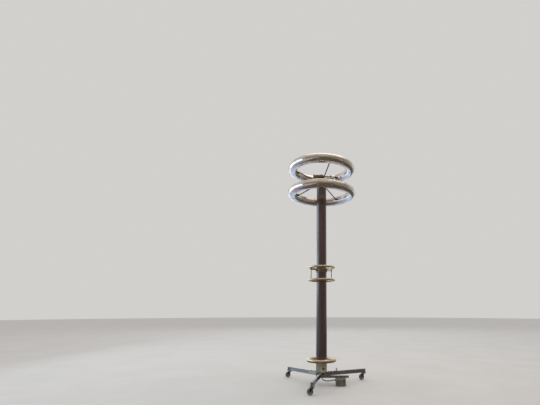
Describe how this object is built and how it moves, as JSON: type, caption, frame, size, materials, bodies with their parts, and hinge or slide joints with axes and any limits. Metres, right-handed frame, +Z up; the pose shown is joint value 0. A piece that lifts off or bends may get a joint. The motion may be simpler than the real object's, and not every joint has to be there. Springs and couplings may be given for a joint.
{
  "type": "high-voltage test electrode stand",
  "caption": "Free-standing high-voltage test electrode stand: insulating column with grading rings, stacked toroids on top and a legged castor base with a measuring box.",
  "frame": {"origin": "on the floor, on the column's axis", "axes": "+Z up along the column; +X to the right and +Y away from the viewer in the reference picture"},
  "size_m": [1.9502, 2.0197, 5.2819],
  "materials": {
    "hub_block": "satin",
    "hub_plate": "satin",
    "leg_right": "satin",
    "leg_left": "satin",
    "leg_front": "satin",
    "castor_plate_right": "satin",
    "castor_plate_left": "satin",
    "castor_plate_front": "satin",
    "pedestal": "satin",
    "connector_block": "satin",
    "foot_flange": "satin",
    "lower_insulator": "gloss",
    "joint_flange_lower": "satin",
    "joint_flange_upper": "satin",
    "upper_insulator": "gloss",
    "head_flange": "satin",
    "foot_ring": "satin",
    "foot_ring_arms": "satin",
    "joint_ring_upper": "satin",
    "joint_ring_lower": "satin",
    "joint_ring_arms": "satin",
    "spider_hub": "satin",
    "terminal_barrel": "satin",
    "terminal_rod": "satin",
    "lower_toroid": "polished",
    "upper_toroid": "polished",
    "lower_spokes": "satin",
    "upper_spokes": "satin",
    "spoke_feet": "matte",
    "box_arm": "satin",
    "measuring_box": "satin",
    "box_lid": "satin",
    "box_straps": "satin",
    "signal_glands": "matte",
    "signal_lead": "matte",
    "earth_post": "satin",
    "castor_fork_right": "satin",
    "castor_wheel_right": "matte",
    "castor_tyre_right": "matte",
    "castor_fork_left": "satin",
    "castor_wheel_left": "matte",
    "castor_tyre_left": "matte",
    "castor_fork_front": "satin",
    "castor_wheel_front": "matte",
    "castor_tyre_front": "matte"
  },
  "bodies": {
    "stand": {"hub_block": "hub_block", "hub_plate": "hub_plate", "leg_right": "leg_right", "leg_left": "leg_left", "leg_front": "leg_front", "castor_plate_right": "castor_plate_right", "castor_plate_left": "castor_plate_left", "castor_plate_front": "castor_plate_front", "pedestal": "pedestal", "connector_block": "connector_block", "foot_flange": "foot_flange", "lower_insulator": "lower_insulator", "joint_flange_lower": "joint_flange_lower", "joint_flange_upper": "joint_flange_upper", "upper_insulator": "upper_insulator", "head_flange": "head_flange", "foot_ring": "foot_ring", "foot_ring_arms": "foot_ring_arms", "joint_ring_upper": "joint_ring_upper", "joint_ring_lower": "joint_ring_lower", "joint_ring_arms": "joint_ring_arms", "spider_hub": "spider_hub", "terminal_barrel": "terminal_barrel", "terminal_rod": "terminal_rod", "lower_toroid": "lower_toroid", "upper_toroid": "upper_toroid", "lower_spokes": "lower_spokes", "upper_spokes": "upper_spokes", "spoke_feet": "spoke_feet", "box_arm": "box_arm", "measuring_box": "measuring_box", "box_lid": "box_lid", "box_straps": "box_straps", "signal_glands": "signal_glands", "signal_lead": "signal_lead", "earth_post": "earth_post"},
    "castor_right": {"castor_fork_right": "castor_fork_right"},
    "wheel_right": {"castor_wheel_right": "castor_wheel_right", "castor_tyre_right": "castor_tyre_right"},
    "castor_left": {"castor_fork_left": "castor_fork_left"},
    "wheel_left": {"castor_wheel_left": "castor_wheel_left", "castor_tyre_left": "castor_tyre_left"},
    "castor_front": {"castor_fork_front": "castor_fork_front"},
    "wheel_front": {"castor_wheel_front": "castor_wheel_front", "castor_tyre_front": "castor_tyre_front"}
  },
  "joints": [
    {"name": "castor_swivel_right", "type": "hinge", "parent": "stand", "child": "castor_right", "pos_m": [0.99284, 0.47356, 0.134], "axis": [0, 0, 1], "continuous": true},
    {"name": "wheel_roll_right", "type": "hinge", "parent": "castor_right", "child": "wheel_right", "pos_m": [0.95284, 0.47356, 0.0625], "axis": [0, 1, 0], "continuous": true},
    {"name": "castor_swivel_left", "type": "hinge", "parent": "stand", "child": "castor_left", "pos_m": [-0.78458, 0.771, 0.134], "axis": [0, 0, 1], "continuous": true},
    {"name": "wheel_roll_left", "type": "hinge", "parent": "castor_left", "child": "wheel_left", "pos_m": [-0.82457, 0.771, 0.0625], "axis": [0, 1, 0], "continuous": true},
    {"name": "castor_swivel_front", "type": "hinge", "parent": "stand", "child": "castor_front", "pos_m": [-0.18155, -1.08491, 0.134], "axis": [0, 0, 1], "continuous": true},
    {"name": "wheel_roll_front", "type": "hinge", "parent": "castor_front", "child": "wheel_front", "pos_m": [-0.22155, -1.08491, 0.0625], "axis": [0, 1, 0], "continuous": true}
  ]
}
